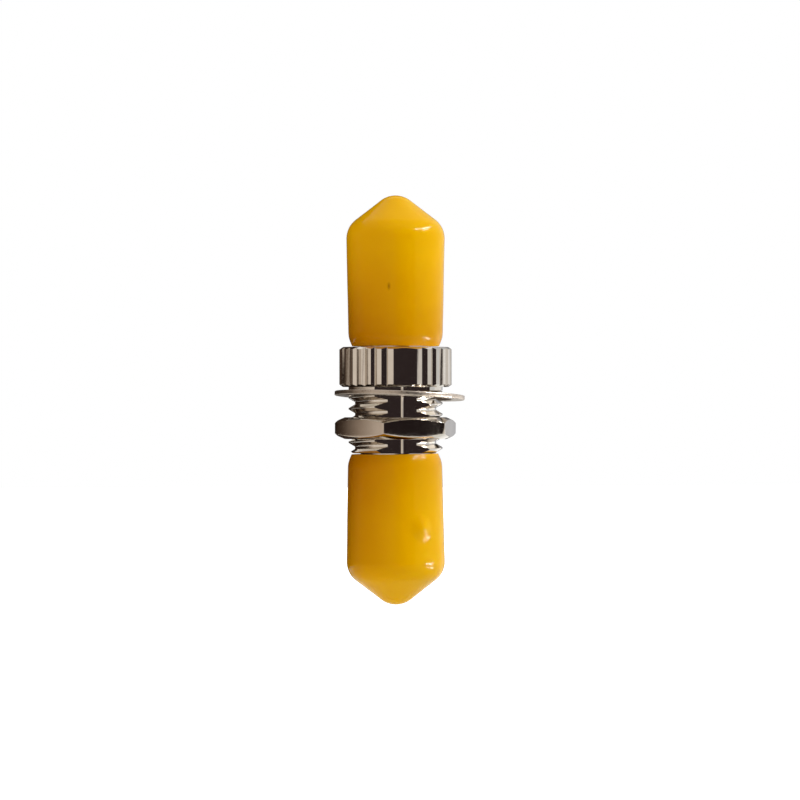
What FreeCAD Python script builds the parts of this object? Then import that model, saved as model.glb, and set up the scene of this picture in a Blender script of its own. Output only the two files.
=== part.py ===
import FreeCAD, Part
import os
import Sketcher

# A bulkhead coupler that joins two bayonet fibre plugs end to end, with its dust caps on.
# +Z runs along the axis. The origin lies on the axis in the collar's underside, the face that
# seats against a panel. The casting's mould parting runs along -Y and +Y.

# Driving dimensions, in millimetres and degrees
SIZES = {
    # Knurled collar
    "collar_diameter": 11.4,
    "collar_height": 4.05,
    "collar_edge": 0.3,
    "groove_width": 0.7,
    "groove_depth": 0.36,
    "groove_overcut": 0.1,
    "groove_angle": 11.5,
    "grooves_per_side": 13,
    "smooth_half_angle": 12,
    # Panel thread with its double flats
    "thread_diameter": 9.525,
    "thread_pitch": 1.13,
    "thread_depth": 0.65,
    "thread_crest": 0.13,
    "thread_flank_angle": 30,
    "thread_overcut": 0.03,
    "thread_length": 6.7,
    "thread_lead": 0.4,
    "thread_runout": 0.35,
    "flats_width": 7.67,
    # Bayonet barrels, with two lugs and a key notch each
    "barrel_diameter": 7.1,
    "barrel_length": 9.6,
    "barrel_edge": 0.3,
    "lug_diameter": 1.9,
    "lug_span": 8.3,
    "lug_setback": 2.0,
    "lug_heading_angle": 35,
    "notch_turn_angle": 90,
    "notch_width": 1.5,
    "notch_depth": 2.5,
    "socket_diameter": 5.0,
    # Split sleeve, held between the casting's lip and a pressed-in retainer
    "sleeve_bore": 2.5,
    "sleeve_wall": 0.35,
    "sleeve_length": 11.4,
    "sleeve_slit": 0.5,
    "sleeve_play": 0.1,
    "sleeve_float": 0.2,
    "lip_bore": 2.9,
    "lip_thickness": 0.7,
    "ferrule_lead": 0.3,
    "retainer_diameter": 4.4,
    # Jam nut
    "nut_flats": 11.3,
    "nut_height": 2.2,
    "nut_face_diameter": 10.3,
    "nut_bevel_angle": 23,
    "nut_mouth": 0.25,
    "nut_clearance": 0.08,
    "nut_drop": 4.17,
    "nut_heading_angle": 9.7,
    # Washer, which leans on the thread
    "washer_play": 0.52,
    "washer_band": 1.32,
    "washer_gap": 0.1,
    "washer_thickness": 0.45,
    "washer_drop": 0.87,
    "washer_lean_angle": 3.4,
    "washer_heading_angle": 130,
    # Dust caps
    "cap_length": 15.35,
    "cap_mouth_diameter": 9.6,
    "cap_shoulder_diameter": 10.0,
    "cap_cone_angle": 52,
    "cap_tip_radius": 2.5,
    "cap_shoulder_radius": 2.4,
    "cap_rim_bevel": 0.42,
    "cap_end_wall": 1.0,
    "cap_clearance": 0.05,
    "cap_seat_gap": 0.06,
}

FULL_TURN = 360
HALF_TURN = 180
RIGHT_ANGLE = 90
HEX_SIDES = 6

# Flats that stand for each round of a soft cap
CAP_ROUND_FLATS = 2

# Places along the axis and radii that several sub-parts share
COLLAR_RADIUS = "Sizes.collar_diameter / 2"
THREAD_RADIUS = "Sizes.thread_diameter / 2"
ROOT_RADIUS = f"({THREAD_RADIUS} - Sizes.thread_depth)"
BARREL_RADIUS = "Sizes.barrel_diameter / 2"
SOCKET_RADIUS = "Sizes.socket_diameter / 2"
LIP_RADIUS = "Sizes.lip_bore / 2"
RETAINER_RADIUS = "Sizes.retainer_diameter / 2"
SLEEVE_RADIUS = "(Sizes.sleeve_bore / 2 + Sizes.sleeve_wall)"
THREAD_END = "-Sizes.thread_length"
LOWER_END = "(-Sizes.thread_length - Sizes.barrel_length)"
UPPER_END = "(Sizes.collar_height + Sizes.barrel_length)"
MIDDLE = f"(({LOWER_END} + {UPPER_END}) / 2)"
POCKET_HALF = "(Sizes.sleeve_length / 2 + Sizes.sleeve_float / 2)"
SLEEVE_SEAT = f"({MIDDLE} - {POCKET_HALF})"
RETAINER_SEAT = f"({MIDDLE} + {POCKET_HALF})"
LOWER_FLOOR = f"({SLEEVE_SEAT} - Sizes.lip_thickness)"
UPPER_FLOOR = f"({RETAINER_SEAT} + Sizes.lip_thickness)"


def fill_sheet(doc):
    """Write each driving dimension to a cell that carries its name."""
    sheet = doc.addObject("Spreadsheet::Sheet", "Sizes")
    for row, (name, value) in enumerate(SIZES.items(), start=1):
        sheet.set(f"A{row}", name)
        sheet.set(f"B{row}", str(value))
        sheet.setAlias(f"B{row}", name)
    doc.recompute()
    return sheet


def new_body(doc, name):
    """Add an empty sub-part."""
    body = doc.addObject("PartDesign::Body", name)
    body.Label = name
    return body


def origin_feature(body, role):
    """Find one of the body's own base planes or axes."""
    return next(item for item in body.Origin.OriginFeatures if item.Role == role)


def add_sketch(body, name, plane, heading=None):
    """Attach a sketch to a base plane, turned about Z by a heading where one is given."""
    sketch = body.newObject("Sketcher::SketchObject", name)
    sketch.AttachmentSupport = [(origin_feature(body, plane), "")]
    sketch.MapMode = "FlatFace"
    if heading is not None:
        upright = FreeCAD.Vector(0, 1, 0)
        angle = float(sketch.evalExpression(heading))
        sketch.AttachmentOffset = FreeCAD.Placement(FreeCAD.Vector(), FreeCAD.Rotation(upright, angle))
        sketch.setExpression("AttachmentOffset.Rotation.Angle", heading)
    return sketch


def pin_point(sketch, line, point, label, where):
    """Hold one point of the sketch at a pair of expressions measured from the origin."""
    for kind, expression in zip(("DistanceX", "DistanceY"), where):
        value = float(sketch.evalExpression(expression))
        index = sketch.addConstraint(Sketcher.Constraint(kind, -1, 1, line, point, value))
        title = f"{label}{kind[-1].lower()}"
        sketch.renameConstraint(index, title)
        sketch.setExpression(f"Constraints.{title}", expression)


def round_corners(centre, radius, first, last):
    """Points along an arc, as pairs of expressions, from one angle above level to another."""
    points = []
    for number in range(CAP_ROUND_FLATS + 1):
        angle = f"({first} + ({last} - {first}) * {number} / {CAP_ROUND_FLATS})"
        points.append((f"{centre[0]} + {radius} * cos({angle})", f"{centre[1]} + {radius} * sin({angle})"))
    return points


def draw_polygon(sketch, label, corners):
    """Draw a closed outline whose corners are pairs of expressions."""
    places = [FreeCAD.Vector(*(float(sketch.evalExpression(e)) for e in pair), 0) for pair in corners]
    first = sketch.GeometryCount
    count = len(places)
    for number in range(count):
        sketch.addGeometry(Part.LineSegment(places[number], places[(number + 1) % count]), False)
    for number in range(count):
        joined = first + (number + 1) % count
        sketch.addConstraint(Sketcher.Constraint("Coincident", first + number, 2, joined, 1))
    for number, pair in enumerate(corners):
        pin_point(sketch, first + number, 1, f"{label}{number}", pair)


def draw_circle(sketch, label, centre, radius):
    """Draw a circle from expressions for its centre and radius."""
    place = FreeCAD.Vector(*(float(sketch.evalExpression(e)) for e in centre), 0)
    size = float(sketch.evalExpression(radius))
    line = sketch.addGeometry(Part.Circle(place, FreeCAD.Vector(0, 0, 1), size), False)
    pin_point(sketch, line, 3, label, centre)
    index = sketch.addConstraint(Sketcher.Constraint("Radius", line, size))
    sketch.renameConstraint(index, f"{label}radius")
    sketch.setExpression(f"Constraints.{label}radius", radius)


def turn(body, kind, name, corners):
    """Revolve an outline, drawn in radius and height, all the way round the Z axis."""
    sketch = add_sketch(body, f"{name}Outline", "XZ_Plane")
    draw_polygon(sketch, "corner", corners)
    feature = body.newObject(kind, name)
    feature.Profile = sketch
    feature.ReferenceAxis = (sketch, ["V_Axis"])
    return feature


def extrude(body, kind, name, sketch, length, side="One side", backwards=False):
    """Pad or pocket a sketch to a length given as an expression."""
    feature = body.newObject(kind, name)
    feature.Profile = sketch
    feature.SideType = side
    feature.Reversed = backwards
    feature.setExpression("Length", length)
    return feature


def make_threaded_body(doc):
    """The casting: collar, thread and both barrels in one piece."""
    body = new_body(doc, "threaded_body")
    turn(
        body,
        "PartDesign::Revolution",
        "Blank",
        [
            ("0", LOWER_END),
            (f"{BARREL_RADIUS} - Sizes.barrel_edge", LOWER_END),
            (BARREL_RADIUS, f"{LOWER_END} + Sizes.barrel_edge"),
            (BARREL_RADIUS, THREAD_END),
            (ROOT_RADIUS, THREAD_END),
            (THREAD_RADIUS, f"{THREAD_END} + Sizes.thread_lead"),
            (THREAD_RADIUS, "0"),
            (f"{COLLAR_RADIUS} - Sizes.collar_edge", "0"),
            (COLLAR_RADIUS, "Sizes.collar_edge"),
            (COLLAR_RADIUS, "Sizes.collar_height - Sizes.collar_edge"),
            (f"{COLLAR_RADIUS} - Sizes.collar_edge", "Sizes.collar_height"),
            (BARREL_RADIUS, "Sizes.collar_height"),
            (BARREL_RADIUS, f"{UPPER_END} - Sizes.barrel_edge"),
            (f"{BARREL_RADIUS} - Sizes.barrel_edge", UPPER_END),
            ("0", UPPER_END),
        ],
    )
    cut_thread(body)
    cut_flats(body)
    cut_knurl(body)
    add_lugs(body)
    cut_bores(body)
    cut_notches(body)
    return body


def cut_thread(body):
    """Cut the right-hand thread as one helical groove."""
    sketch = add_sketch(body, "ThreadOutline", "XZ_Plane")
    outside = f"{THREAD_RADIUS} + Sizes.thread_overcut"
    slope = "tan(Sizes.thread_flank_angle)"
    half_root = f"(Sizes.thread_pitch - Sizes.thread_crest) / 2 - Sizes.thread_depth * {slope}"
    half_mouth = f"{half_root} + (Sizes.thread_depth + Sizes.thread_overcut) * {slope}"
    start = f"({THREAD_END} - Sizes.thread_pitch)"
    draw_polygon(
        sketch,
        "corner",
        [
            (ROOT_RADIUS, f"{start} - ({half_root})"),
            (outside, f"{start} - ({half_mouth})"),
            (outside, f"{start} + {half_mouth}"),
            (ROOT_RADIUS, f"{start} + {half_root}"),
        ],
    )
    groove = body.newObject("PartDesign::SubtractiveHelix", "Thread")
    groove.Profile = sketch
    groove.ReferenceAxis = (sketch, ["V_Axis"])
    groove.Mode = "pitch-height-angle"
    groove.setExpression("Pitch", "Sizes.thread_pitch")
    groove.setExpression("Height", f"-Sizes.thread_runout - Sizes.thread_pitch / 2 - {start}")


def cut_flats(body):
    """Cut the thread's double flats, and the smooth strips where the mould parts on the collar."""
    bounds = {
        "ThreadFlats": ("Sizes.flats_width / 2", "Sizes.thread_length", False),
        "SmoothStrips": (f"{COLLAR_RADIUS} * cos(Sizes.smooth_half_angle)", "Sizes.collar_height", True),
    }
    reach = "Sizes.collar_diameter"
    for name, (inner, length, upwards) in bounds.items():
        sketch = add_sketch(body, f"{name}Outline", "XY_Plane")
        for label, sign in (("front", "-"), ("rear", "")):
            draw_polygon(
                sketch,
                label,
                [
                    (f"-({reach})", f"{sign}({inner})"),
                    (reach, f"{sign}({inner})"),
                    (reach, f"{sign}({reach})"),
                    (f"-({reach})", f"{sign}({reach})"),
                ],
            )
        extrude(body, "PartDesign::Pocket", name, sketch, length, backwards=upwards)


def cut_knurl(body):
    """Cut the straight knurl, a run of V grooves on each side of the mould parting."""
    half_run = "(Sizes.groove_angle * (Sizes.grooves_per_side - 1) / 2)"
    outside = f"({COLLAR_RADIUS} + Sizes.groove_overcut)"
    bottom = f"({COLLAR_RADIUS} - Sizes.groove_depth)"
    half_mouth = f"(({outside} - {bottom}) * Sizes.groove_width / 2 / Sizes.groove_depth)"
    # Each corner's distance from the axis along the first groove, and to its side
    corners = [(bottom, "0"), (outside, half_mouth), (outside, f"-{half_mouth}")]
    for side, sign in (("Right", ""), ("Left", "-")):
        sketch = add_sketch(body, f"{side}GrooveOutline", "XY_Plane")
        places = []
        for out, across in corners:
            x = f"{sign}({out} * cos({half_run}) + {across} * sin({half_run}))"
            y = f"{sign}({across} * cos({half_run}) - {out} * sin({half_run}))"
            places.append((x, y))
        draw_polygon(sketch, "corner", places)
        groove = extrude(
            body, "PartDesign::Pocket", f"{side}Groove", sketch, "Sizes.collar_height", backwards=True
        )
        body.Document.recompute()
        run = body.newObject("PartDesign::PolarPattern", f"{side}Grooves")
        run.Originals = [groove]
        run.Axis = (sketch, ["N_Axis"])
        run.setExpression("Angle", f"2 * {half_run}")
        run.setExpression("Occurrences", "Sizes.grooves_per_side")
        body.Tip = run


def add_lugs(body):
    """Add the two bayonet lugs of each barrel as pins right through it."""
    sketch = add_sketch(body, "LugOutline", "XZ_Plane", "Sizes.lug_heading_angle")
    draw_circle(sketch, "upper", ("0", f"{UPPER_END} - Sizes.lug_setback"), "Sizes.lug_diameter / 2")
    draw_circle(sketch, "lower", ("0", f"{LOWER_END} + Sizes.lug_setback"), "Sizes.lug_diameter / 2")
    extrude(body, "PartDesign::Pad", "Lugs", sketch, "Sizes.lug_span", side="Symmetric")


def cut_bores(body):
    """Bore the plug sockets, the sleeve's pocket between them and the retainer's seat."""
    turn(
        body,
        "PartDesign::Groove",
        "Bores",
        [
            ("0", LOWER_END),
            (SOCKET_RADIUS, LOWER_END),
            (SOCKET_RADIUS, LOWER_FLOOR),
            (f"{LIP_RADIUS} + Sizes.ferrule_lead", LOWER_FLOOR),
            (LIP_RADIUS, f"{LOWER_FLOOR} + Sizes.ferrule_lead"),
            (LIP_RADIUS, SLEEVE_SEAT),
            (f"{SLEEVE_RADIUS} + Sizes.sleeve_play", SLEEVE_SEAT),
            (f"{SLEEVE_RADIUS} + Sizes.sleeve_play", RETAINER_SEAT),
            (RETAINER_RADIUS, RETAINER_SEAT),
            (RETAINER_RADIUS, UPPER_FLOOR),
            (SOCKET_RADIUS, UPPER_FLOOR),
            (SOCKET_RADIUS, UPPER_END),
            ("0", UPPER_END),
        ],
    )


def cut_notches(body):
    """Cut the key notch in each barrel's end, to one side of the lugs."""
    sketch = add_sketch(body, "NotchOutline", "XZ_Plane", "Sizes.lug_heading_angle + Sizes.notch_turn_angle")
    half = "Sizes.notch_width / 2"
    for label, end, inward in (("upper", UPPER_END, "-"), ("lower", LOWER_END, "+")):
        draw_polygon(
            sketch,
            label,
            [
                (f"-{half}", end),
                (half, end),
                (half, f"{end} {inward} Sizes.notch_depth"),
                (f"-{half}", f"{end} {inward} Sizes.notch_depth"),
            ],
        )
    extrude(body, "PartDesign::Pocket", "Notches", sketch, BARREL_RADIUS)


def make_sleeve_retainer(doc):
    """The ring pressed in above the sleeve, with a lead for the ferrule."""
    body = new_body(doc, "sleeve_retainer")
    turn(
        body,
        "PartDesign::Revolution",
        "Ring",
        [
            (LIP_RADIUS, RETAINER_SEAT),
            (RETAINER_RADIUS, RETAINER_SEAT),
            (RETAINER_RADIUS, UPPER_FLOOR),
            (f"{LIP_RADIUS} + Sizes.ferrule_lead", UPPER_FLOOR),
            (LIP_RADIUS, f"{UPPER_FLOOR} - Sizes.ferrule_lead"),
        ],
    )
    return body


def make_alignment_sleeve(doc):
    """The split sleeve that lines up two ferrules, standing on the casting's lip."""
    body = new_body(doc, "alignment_sleeve")
    top = f"({SLEEVE_SEAT} + Sizes.sleeve_length)"
    turn(
        body,
        "PartDesign::Revolution",
        "Tube",
        [
            ("Sizes.sleeve_bore / 2", SLEEVE_SEAT),
            (SLEEVE_RADIUS, SLEEVE_SEAT),
            (SLEEVE_RADIUS, top),
            ("Sizes.sleeve_bore / 2", top),
        ],
    )
    sketch = add_sketch(body, "SlitOutline", "XZ_Plane")
    half = "Sizes.sleeve_slit / 2"
    draw_polygon(
        sketch,
        "corner",
        [(f"-{half}", SLEEVE_SEAT), (half, SLEEVE_SEAT), (half, top), (f"-{half}", top)],
    )
    extrude(body, "PartDesign::Pocket", "Slit", sketch, f"{SLEEVE_RADIUS} + Sizes.sleeve_play")
    return body


def make_hex_nut(doc):
    """The thin jam nut, bevelled on both faces, whose bore just clears the thread's crests."""
    body = new_body(doc, "hex_nut")
    sketch = add_sketch(body, "HexOutline", "XY_Plane")
    corner_radius = f"(Sizes.nut_flats / 2 / cos({HALF_TURN / HEX_SIDES}))"
    corners = []
    for number in range(HEX_SIDES):
        angle = FULL_TURN / HEX_SIDES * number
        corners.append((f"{corner_radius} * cos({angle})", f"{corner_radius} * sin({angle})"))
    draw_polygon(sketch, "corner", corners)
    extrude(body, "PartDesign::Pad", "Blank", sketch, "Sizes.nut_height", side="Symmetric")
    half = "Sizes.nut_height / 2"
    face = "Sizes.nut_face_diameter / 2"
    drop = f"({corner_radius} - {face}) * tan(Sizes.nut_bevel_angle)"
    bore = f"({THREAD_RADIUS} + Sizes.nut_clearance)"
    for name, sign in (("Upper", ""), ("Lower", "-")):
        turn(
            body,
            "PartDesign::Groove",
            f"{name}Bevel",
            [
                (face, f"{sign}({half})"),
                (corner_radius, f"{sign}({half})"),
                (corner_radius, f"{sign}({half} - {drop})"),
            ],
        )
    turn(
        body,
        "PartDesign::Groove",
        "Bore",
        [
            ("0", f"-{half}"),
            (f"{bore} + Sizes.nut_mouth", f"-{half}"),
            (bore, f"-{half} + Sizes.nut_mouth"),
            (bore, f"{half} - Sizes.nut_mouth"),
            (f"{bore} + Sizes.nut_mouth", half),
            ("0", half),
        ],
    )
    body.setExpression("Placement.Base.z", "-Sizes.nut_drop")
    body.setExpression("Placement.Rotation.Angle", "Sizes.nut_heading_angle")
    return body


def make_washer(doc):
    """The loose plain washer, hung to one side of the thread and leaning."""
    body = new_body(doc, "washer")
    half = "Sizes.washer_thickness / 2"
    bore = f"({THREAD_RADIUS} + Sizes.washer_play)"
    rim = f"({bore} + Sizes.washer_band)"
    turn(
        body,
        "PartDesign::Revolution",
        "Ring",
        [
            (bore, f"-{half}"),
            (rim, f"-{half}"),
            (rim, half),
            (bore, half),
        ],
    )
    heading = float(body.evalExpression("Sizes.washer_heading_angle"))
    across = FreeCAD.Rotation(FreeCAD.Vector(0, 0, 1), heading).multVec(FreeCAD.Vector(1, 0, 0))
    lean = float(body.evalExpression("Sizes.washer_lean_angle"))
    body.Placement = FreeCAD.Placement(FreeCAD.Vector(), FreeCAD.Rotation(across, lean))
    body.setExpression("Placement.Base.x", "Sizes.washer_play - Sizes.washer_gap")
    body.setExpression("Placement.Base.z", "-Sizes.washer_drop")
    return body


def make_dust_cap(doc, name, flipped, rim_height):
    """A dip-moulded cap with a rounded cone for an end, whose bore grips the lugs."""
    body = new_body(doc, name)
    cone = "Sizes.cap_cone_angle"
    bore = "(sqrt((Sizes.lug_span / 2) ^ 2 + (Sizes.lug_diameter / 2) ^ 2) + Sizes.cap_clearance)"
    mouth = "Sizes.cap_mouth_diameter / 2"
    tip_centre = ("0", "(Sizes.cap_length - Sizes.cap_tip_radius)")
    # The cone runs tangent to the tip's round and to the shoulder's
    shoulder_inset = "(Sizes.cap_shoulder_diameter / 2 - Sizes.cap_shoulder_radius)"
    slant = "((Sizes.cap_shoulder_radius - Sizes.cap_tip_radius) / sin(Sizes.cap_cone_angle))"
    shoulder_drop = f"({shoulder_inset} / tan({cone}) + {slant})"
    shoulder_centre = (shoulder_inset, f"({tip_centre[1]} - {shoulder_drop})")
    inner_tip = "(Sizes.cap_length - Sizes.cap_end_wall)"
    turn(
        body,
        "PartDesign::Revolution",
        "Shell",
        [
            (bore, "0"),
            (f"{mouth} - Sizes.cap_rim_bevel", "0"),
            (mouth, "Sizes.cap_rim_bevel"),
            *round_corners(shoulder_centre, "Sizes.cap_shoulder_radius", "0", cone),
            *round_corners(tip_centre, "Sizes.cap_tip_radius", cone, RIGHT_ANGLE),
            ("0", inner_tip),
            (bore, f"{inner_tip} - {bore} / tan({cone})"),
        ],
    )
    turned = FreeCAD.Rotation(FreeCAD.Vector(1, 0, 0), HALF_TURN if flipped else 0)
    body.Placement = FreeCAD.Placement(FreeCAD.Vector(), turned)
    body.setExpression("Placement.Base.z", rim_height)
    return body


def build():
    """Make every sub-part, test it and write its file."""
    doc = FreeCAD.newDocument("bulkhead_coupler")
    fill_sheet(doc)
    bodies = [
        make_threaded_body(doc),
        make_sleeve_retainer(doc),
        make_alignment_sleeve(doc),
        make_hex_nut(doc),
        make_washer(doc),
        make_dust_cap(doc, "upper_dust_cap", False, "Sizes.collar_height + Sizes.cap_seat_gap"),
        make_dust_cap(doc, "lower_dust_cap", True, f"{THREAD_END} - Sizes.cap_seat_gap"),
    ]
    doc.recompute()
    for item in doc.Objects:
        if {"Invalid", "Error"} & set(item.State):
            raise RuntimeError(f"{item.Name} did not build: {item.State}")
    for body in bodies:
        if body.Shape.isNull() or not body.Shape.isValid():
            raise RuntimeError(f"{body.Label} is not a sound solid")
    os.makedirs("parts", exist_ok=True)
    for body in bodies:
        print(body.Label, round(body.Shape.Volume, 3), len(body.Shape.Solids), len(body.Shape.Faces))
        body.Shape.exportStep(os.path.join("parts", f"{body.Label}.step"))


build()
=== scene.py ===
"""Dress the packed fibre coupler: plated metal, a ceramic sleeve and dipped vinyl caps, in a white studio.

New pieces are drawn in millimetres in the CAD part's own frame, because edit mode's merge distances are
too coarse for them in metres, and each piece is scaled to metres once it is whole.
"""

import logging
import math
from collections.abc import Iterator, Mapping, Sequence
from contextlib import contextmanager
from dataclasses import dataclass
from enum import Enum, auto
from functools import partial
from typing import Any

import bpy
from bpy.types import Material, Node, NodeSocket, NodeTree, Object
from mathutils import Euler, Matrix, Vector

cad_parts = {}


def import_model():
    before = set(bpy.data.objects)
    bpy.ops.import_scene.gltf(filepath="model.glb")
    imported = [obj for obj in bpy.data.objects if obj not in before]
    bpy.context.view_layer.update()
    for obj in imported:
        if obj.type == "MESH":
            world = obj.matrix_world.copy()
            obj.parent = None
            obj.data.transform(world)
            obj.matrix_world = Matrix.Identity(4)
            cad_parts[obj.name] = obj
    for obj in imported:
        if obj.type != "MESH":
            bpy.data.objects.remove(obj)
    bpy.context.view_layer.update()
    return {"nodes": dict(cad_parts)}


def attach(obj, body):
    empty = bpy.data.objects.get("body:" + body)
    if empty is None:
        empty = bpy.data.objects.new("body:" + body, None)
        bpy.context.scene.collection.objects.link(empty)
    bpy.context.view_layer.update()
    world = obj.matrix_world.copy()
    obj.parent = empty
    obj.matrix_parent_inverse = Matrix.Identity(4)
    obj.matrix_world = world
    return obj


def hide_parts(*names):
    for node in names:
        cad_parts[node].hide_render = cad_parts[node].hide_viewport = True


LOG = logging.getLogger("coupler")

MM = 0.001
FULL_TURN = 2 * math.pi
HALF_TURN = math.pi
WHITE = "#FFFFFF"
# The widest turn that one run of a round takes, and the most of a side that a round uses up
ARC_STEP = math.radians(15)
ROUND_SHARE = 0.48
# In millimetres: points this near are merged, and a cutter reaches this far past what it cuts
MERGE = 0.0005
SPARE = 0.2

Pair = tuple[float, float]
Point = tuple[float, float, float]


class Joining(Enum):
    """How a second solid works on the first."""

    ADD = "UNION"
    CUT = "DIFFERENCE"
    KEEP_COMMON = "INTERSECT"


class Beam(Enum):
    """What a lamp or a card does for the object: lights it, shows in its gloss, or both."""

    LIGHTS = auto()
    GLINTS = auto()
    BOTH = auto()

    def send(self, obj: Object) -> None:
        """Let a lamp or a card do this and nothing else."""
        obj.visible_diffuse = self is not Beam.GLINTS
        obj.visible_glossy = self is not Beam.LIGHTS


@dataclass(frozen=True)
class Corner:
    """One corner of a flat outline, with the radius that takes off its edge."""

    x: float
    y: float
    radius: float = 0.0

    def place(self) -> Vector:
        """Give the corner as a flat vector."""
        return Vector((self.x, self.y))


def linear(code: str) -> tuple[float, float, float, float]:
    """Turn an sRGB hex colour into Blender's linear one.

    Args:
        code: The colour as #RRGGBB.

    Returns:
        Linear red, green, blue and an alpha of 1.
    """
    shares = [int(code[start : start + 2], 16) / 255 for start in (1, 3, 5)]
    red, green, blue = (s / 12.92 if s <= 0.04045 else ((s + 0.055) / 1.055) ** 2.4 for s in shares)
    return red, green, blue, 1.0


def per_mm(size: float) -> float:
    """Give the texture scale whose features are this many millimetres wide."""
    return 1 / (size * MM)


def add_node(
    tree: NodeTree,
    kind: str,
    sockets: Mapping[str | int, Any] | None = None,
    settings: Mapping[str, Any] | None = None,
) -> Node:
    """Add one node, with its values, links and settings.

    Args:
        tree: The node tree that gets it.
        kind: The node's Blender type.
        sockets: Inputs by name or number, each given a value or another node's output.
        settings: The node's own properties.

    Returns:
        The new node.
    """
    node = tree.nodes.new(kind)
    for name, value in (settings or {}).items():
        setattr(node, name, value)
    for key, value in (sockets or {}).items():
        if isinstance(value, NodeSocket):
            tree.links.new(value, node.inputs[key])
        else:
            node.inputs[key].default_value = value
    return node


def start_material(name: str) -> tuple[Material, Node, NodeSocket]:
    """Start a node material.

    Args:
        name: The new material's name.

    Returns:
        The material, its shader and the output that gives a point's place on the object.
    """
    material = bpy.data.materials.new(name)
    material.use_nodes = True
    tree = material.node_tree
    return material, tree.nodes["Principled BSDF"], add_node(tree, "ShaderNodeTexCoord").outputs["Object"]


def select_only(obj: Object | None = None) -> None:
    """Deselect everything, then select and activate one object.

    Args:
        obj: That object, or None to leave everything deselected.
    """
    bpy.ops.object.select_all(action="DESELECT")
    if obj is not None:
        obj.select_set(True)
        bpy.context.view_layer.objects.active = obj


@contextmanager
def editing(obj: Object) -> Iterator[None]:
    """Hold one mesh in edit mode, with every vertex selected as the work on it starts.

    Args:
        obj: The mesh object.

    Yields:
        Nothing, while it is in edit mode.
    """
    select_only(obj)
    bpy.ops.object.mode_set(mode="EDIT")
    bpy.ops.mesh.select_mode(type="VERT")
    bpy.ops.mesh.select_all(action="SELECT")
    yield
    bpy.ops.object.mode_set(mode="OBJECT")


def close_up() -> None:
    """Merge the doubles of the mesh in edit mode and turn its faces outwards."""
    bpy.ops.mesh.select_all(action="SELECT")
    bpy.ops.mesh.remove_doubles(threshold=MERGE)
    bpy.ops.mesh.normals_make_consistent(inside=False)


def rounded(corners: Sequence[Corner], closed: bool = False) -> list[Vector]:
    """Round the corners of a flat outline.

    Args:
        corners: The outline's corners in order.
        closed: Whether the last corner leads back to the first.

    Returns:
        The outline's points, with each round drawn in short runs.
    """
    points: list[Vector] = []
    for index, corner in enumerate(corners):
        here = corner.place()
        at_end = not closed and index in (0, len(corners) - 1)
        if at_end or corner.radius == 0:
            points.append(here)
            continue
        back = corners[index - 1].place() - here
        ahead = corners[(index + 1) % len(corners)].place() - here
        half = back.angle(ahead) / 2
        room = min(back.length, ahead.length) * ROUND_SHARE
        reach = min(corner.radius / math.tan(half), room)
        middle = (back.normalized() + ahead.normalized()).normalized()
        centre = here + middle * (reach / math.cos(half))
        first = here + back.normalized() * reach - centre
        last = here + ahead.normalized() * reach - centre
        sweep = math.copysign(HALF_TURN - 2 * half, first.x * last.y - first.y * last.x)
        steps = max(2, math.ceil(abs(sweep) / ARC_STEP))
        points += [centre + Matrix.Rotation(sweep * n / steps, 2) @ first for n in range(steps + 1)]
    return points


def arc(centre: Pair, radius: float, first: float, last: float, steps: int) -> list[Vector]:
    """Draw a flat arc.

    Args:
        centre: The arc's centre.
        radius: Its radius.
        first: The angle it starts at, in degrees.
        last: The angle it ends at, in degrees.
        steps: How many runs it is drawn in.

    Returns:
        The arc's points, both ends among them.
    """
    angles = [math.radians(first + (last - first) * n / steps) for n in range(steps + 1)]
    return [Vector(centre) + radius * Vector((math.cos(a), math.sin(a))) for a in angles]


def divided(points: Sequence[Vector], longest: float) -> list[Vector]:
    """Put points along an outline's long runs.

    Args:
        points: The outline's points in order.
        longest: The longest run that is left as it is.

    Returns:
        The outline with evenly spaced points added.
    """
    result = [points[0]]
    for start, stop in zip(points, points[1:]):
        steps = max(1, math.ceil((stop - start).length / longest))
        result += [start.lerp(stop, n / steps) for n in range(1, steps + 1)]
    return result


def draw_chain(points: Sequence[Vector]) -> Object:
    """Draw a line by shrinking a plane to one vertex and extruding that from point to point.

    Args:
        points: The line's points in space.

    Returns:
        A mesh of edges.
    """
    select_only()
    bpy.ops.mesh.primitive_plane_add()
    chain = bpy.context.object
    with editing(chain):
        bpy.ops.mesh.merge(type="CENTER")
        bpy.ops.transform.translate(value=points[0])
        for start, stop in zip(points, points[1:]):
            bpy.ops.mesh.extrude_region_move(TRANSFORM_OT_translate={"value": stop - start})
    return chain


def lathe(outline: Sequence[Vector], steps: int) -> Object:
    """Turn a solid about the upright axis.

    Args:
        outline: Radius and height of each point, from axis to axis, or a closed loop clear of it.
        steps: How many flats the turn has.

    Returns:
        The closed solid.
    """
    solid = draw_chain([Vector((p.x, 0, p.y)) for p in outline])
    with editing(solid):
        bpy.ops.mesh.spin(steps=steps, angle=FULL_TURN, center=(0, 0, 0), axis=(0, 0, 1))
        close_up()
    return solid


def bar(radius: float, low: float, high: float, edge: float, steps: int) -> Object:
    """Turn a plain round bar.

    Args:
        radius: Its radius.
        low: The height of its lower end.
        high: The height of its upper end.
        edge: The radius that takes off the edges of both ends.
        steps: How many flats the turn has.

    Returns:
        The closed bar.
    """
    outline = [Corner(0, low), Corner(radius, low, edge), Corner(radius, high, edge), Corner(0, high)]
    return lathe(rounded(outline), steps)


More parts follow.
